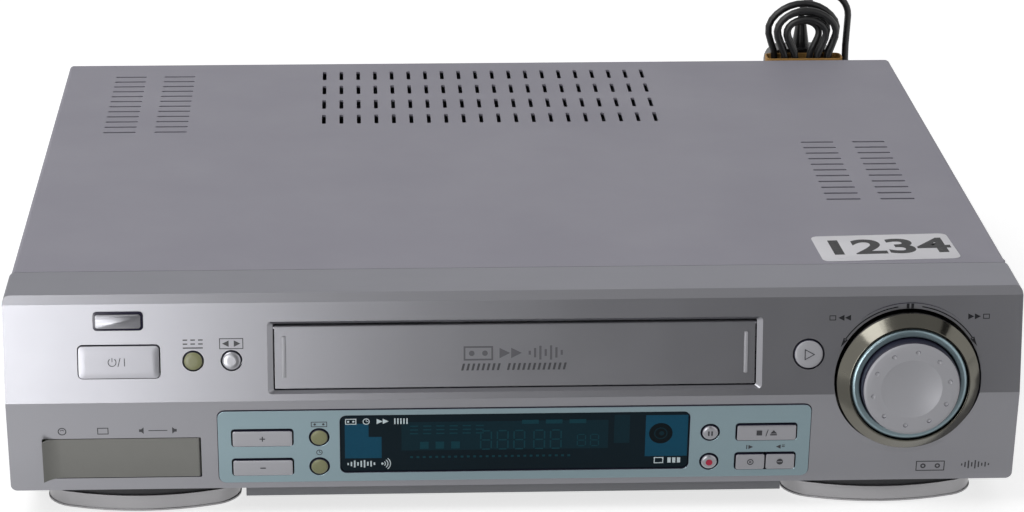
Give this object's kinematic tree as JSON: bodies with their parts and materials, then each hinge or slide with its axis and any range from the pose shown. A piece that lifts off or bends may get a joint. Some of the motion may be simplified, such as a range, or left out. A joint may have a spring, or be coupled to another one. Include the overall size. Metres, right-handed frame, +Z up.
{
  "type": "video cassette recorder",
  "caption": "Flat silver video cassette recorder with a swinging cassette door, a display, buttons, a jog dial in a shuttle ring, rear sockets and a tied mains lead.",
  "frame": {"origin": "middle of the footprint on the surface it stands on, without the mains lead", "axes": "+X to the right seen from the front, +Y to the back, +Z up"},
  "size_m": [0.4, 0.3997, 0.1184],
  "materials": {
    "painted_cover": "matte grey paint",
    "screw_steel": "blackened",
    "silver_plastic": "fine metallic silver paint",
    "foot_plastic": "satin silver",
    "pale_teal_plastic": "metallic paint",
    "olive_plastic": "satin",
    "flap_plastic": "soft matte",
    "smoked_window": "tinted, polished",
    "tube_glass": "polished",
    "trim_chrome": "dark chrome",
    "black_plastic": "moulded",
    "black_rubber": "matt",
    "cord_vinyl": "satin",
    "tie_paper": "matt",
    "base_plastic": "moulded",
    "zinc_steel": "zinc plated",
    "board": "lacquered",
    "ferrite": "matt",
    "capacitor_sleeve": "shrink sleeve",
    "white_plastic": "moulded",
    "turned_aluminium": "turned"
  },
  "bodies": {
    "chassis": {"top_cover": "painted_cover", "cover_screws": "screw_steel", "front_panel": "silver_plastic", "display_bezel": "pale_teal_plastic", "display_window": "smoked_window", "dial_trim_ring": "trim_chrome", "jog_encoder": "black_plastic", "front_sockets": "black_plastic", "front_board": "board", "display_tube": "tube_glass", "front_feet": "foot_plastic", "foot_pads": "black_rubber", "chassis_base": "base_plastic", "rear_panel": "zinc_steel", "scart_sockets": "black_plastic", "aerial_sockets": "zinc_steel", "output_sockets": "black_plastic", "main_board": "board", "power_board": "board", "power_transformer": "ferrite", "filter_capacitors": "capacitor_sleeve", "deck_plate": "zinc_steel", "cassette_cage": "zinc_steel", "drum_base": "turned_aluminium", "fixed_heads": "zinc_steel", "strain_relief": "black_rubber", "mains_lead": "cord_vinyl", "mains_hank": "cord_vinyl", "cord_tie": "tie_paper", "mains_plug": "cord_vinyl"},
    "power_button": {"power_button": "silver_plastic"},
    "filter_button": {"filter_button": "olive_plastic"},
    "speed_button": {"speed_button": "silver_plastic"},
    "play_button": {"play_button": "silver_plastic"},
    "channel_up_button": {"channel_up_button": "silver_plastic"},
    "channel_down_button": {"channel_down_button": "silver_plastic"},
    "format_button": {"format_button": "olive_plastic"},
    "timer_button": {"timer_button": "olive_plastic"},
    "pause_button": {"pause_button": "silver_plastic"},
    "record_button": {"record_button": "silver_plastic"},
    "stop_button": {"stop_button": "silver_plastic"},
    "insert_button": {"insert_button": "silver_plastic"},
    "dub_button": {"dub_button": "silver_plastic"},
    "cassette_door": {"cassette_door": "silver_plastic"},
    "socket_flap": {"socket_flap": "flap_plastic"},
    "shuttle_ring": {"shuttle_ring": "pale_teal_plastic"},
    "jog_dial": {"jog_dial": "silver_plastic"},
    "head_drum": {"head_drum": "turned_aluminium"},
    "capstan_rotor": {"capstan_rotor": "turned_aluminium"},
    "pinch_arm": {"pinch_arm": "zinc_steel"},
    "pinch_roller": {"pinch_roller": "black_rubber"},
    "supply_reel": {"supply_reel": "white_plastic"},
    "takeup_reel": {"takeup_reel": "white_plastic"},
    "idler_arm": {"idler_arm": "white_plastic"},
    "supply_guide": {"supply_guide": "turned_aluminium"},
    "takeup_guide": {"takeup_guide": "turned_aluminium"},
    "tension_arm": {"tension_arm": "zinc_steel"},
    "tray_sliders": {"tray_sliders": "white_plastic"},
    "cassette_tray": {"cassette_tray": "zinc_steel"}
  },
  "joints": [
    {"name": "power_press", "type": "slide", "parent": "chassis", "child": "power_button", "axis": [0, 0.9945, -0.1047], "range_m": [0, 0.0012], "stiffness_N_per_m": 500},
    {"name": "filter_press", "type": "slide", "parent": "chassis", "child": "filter_button", "axis": [0, 0.9945, -0.1047], "range_m": [0, 0.0012], "stiffness_N_per_m": 500},
    {"name": "speed_press", "type": "slide", "parent": "chassis", "child": "speed_button", "axis": [0, 0.9945, -0.1047], "range_m": [0, 0.0012], "stiffness_N_per_m": 500},
    {"name": "play_press", "type": "slide", "parent": "chassis", "child": "play_button", "axis": [0, 0.9945, -0.1047], "range_m": [0, 0.0012], "stiffness_N_per_m": 500},
    {"name": "channel_up_press", "type": "slide", "parent": "chassis", "child": "channel_up_button", "axis": [0, 0.9889, 0.1488], "range_m": [0, 0.0012], "stiffness_N_per_m": 500},
    {"name": "channel_down_press", "type": "slide", "parent": "chassis", "child": "channel_down_button", "axis": [0, 0.9889, 0.1488], "range_m": [0, 0.0012], "stiffness_N_per_m": 500},
    {"name": "format_press", "type": "slide", "parent": "chassis", "child": "format_button", "axis": [0, 0.9889, 0.1488], "range_m": [0, 0.0012], "stiffness_N_per_m": 500},
    {"name": "timer_press", "type": "slide", "parent": "chassis", "child": "timer_button", "axis": [0, 0.9889, 0.1488], "range_m": [0, 0.0012], "stiffness_N_per_m": 500},
    {"name": "pause_press", "type": "slide", "parent": "chassis", "child": "pause_button", "axis": [0, 0.9889, 0.1488], "range_m": [0, 0.0012], "stiffness_N_per_m": 500},
    {"name": "record_press", "type": "slide", "parent": "chassis", "child": "record_button", "axis": [0, 0.9889, 0.1488], "range_m": [0, 0.0012], "stiffness_N_per_m": 500},
    {"name": "stop_press", "type": "slide", "parent": "chassis", "child": "stop_button", "axis": [0, 0.9889, 0.1488], "range_m": [0, 0.0012], "stiffness_N_per_m": 500},
    {"name": "insert_press", "type": "slide", "parent": "chassis", "child": "insert_button", "axis": [0, 0.9889, 0.1488], "range_m": [0, 0.0012], "stiffness_N_per_m": 500},
    {"name": "dub_press", "type": "slide", "parent": "chassis", "child": "dub_button", "axis": [0, 0.9889, 0.1488], "range_m": [0, 0.0012], "stiffness_N_per_m": 500},
    {"name": "door_swing", "type": "hinge", "parent": "chassis", "child": "cassette_door", "pos_m": [0, -0.16397, 0.08009], "axis": [1, 0, 0], "range_deg": [0, 85], "stiffness_Nm_per_rad": 0.03},
    {"name": "flap_swing", "type": "hinge", "parent": "chassis", "child": "socket_flap", "pos_m": [-0.1257, -0.16482, 0.02679], "axis": [0, -0.1488, 0.9889], "range_deg": [0, 90]},
    {"name": "shuttle_turn", "type": "hinge", "parent": "chassis", "child": "shuttle_ring", "pos_m": [0.1552, -0.1698, 0.0569], "axis": [0, -1, 0], "range_deg": [-70, 70], "stiffness_Nm_per_rad": 0.05},
    {"name": "jog_turn", "type": "hinge", "parent": "chassis", "child": "jog_dial", "pos_m": [0.1552, -0.1698, 0.0569], "axis": [0, -1, 0], "continuous": true},
    {"name": "drum_spin", "type": "hinge", "parent": "chassis", "child": "head_drum", "pos_m": [0, 0.0842, 0.028], "axis": [0, -0.0872, 0.9962], "continuous": true},
    {"name": "capstan_spin", "type": "hinge", "parent": "chassis", "child": "capstan_rotor", "pos_m": [0.052, 0.0482, 0.028], "axis": [0, 0, 1], "continuous": true},
    {"name": "pinch_swing", "type": "hinge", "parent": "chassis", "child": "pinch_arm", "pos_m": [0.082, 0.0482, 0.036], "axis": [0, 0, -1], "range_deg": [0, 25], "stiffness_Nm_per_rad": 0.02},
    {"name": "pinch_roller_spin", "type": "hinge", "parent": "pinch_arm", "child": "pinch_roller", "pos_m": [0.06233, 0.03903, 0.04], "axis": [0, 0, 1], "continuous": true},
    {"name": "supply_reel_spin", "type": "hinge", "parent": "chassis", "child": "supply_reel", "pos_m": [-0.046, -0.0198, 0.03], "axis": [0, 0, 1], "continuous": true},
    {"name": "takeup_reel_spin", "type": "hinge", "parent": "chassis", "child": "takeup_reel", "pos_m": [0.046, -0.0198, 0.03], "axis": [0, 0, 1], "continuous": true},
    {"name": "idler_swing", "type": "hinge", "parent": "chassis", "child": "idler_arm", "pos_m": [0, -0.0378, 0.03], "axis": [0, 0, 1], "range_deg": [-28, 28]},
    {"name": "supply_guide_slide", "type": "slide", "parent": "chassis", "child": "supply_guide", "axis": [-0.1592, 0.9872, 0], "range_m": [0, 0.0628]},
    {"name": "takeup_guide_slide", "type": "slide", "parent": "chassis", "child": "takeup_guide", "axis": [0.1592, 0.9872, 0], "range_m": [0, 0.0628]},
    {"name": "tension_swing", "type": "hinge", "parent": "chassis", "child": "tension_arm", "pos_m": [-0.08, 0.0442, 0.03], "axis": [0, 0, 1], "range_deg": [-10, 15], "stiffness_Nm_per_rad": 0.01},
    {"name": "tray_travel", "type": "slide", "parent": "chassis", "child": "tray_sliders", "axis": [0, 1, 0], "range_m": [-0.072, 0]},
    {"name": "tray_drop", "type": "slide", "parent": "tray_sliders", "child": "cassette_tray", "axis": [0, 0, -1], "range_m": [0, 0.02]}
  ],
  "couplings": [
    {"joint": "takeup_guide_slide", "follows": "supply_guide_slide", "ratio": 1}
  ]
}
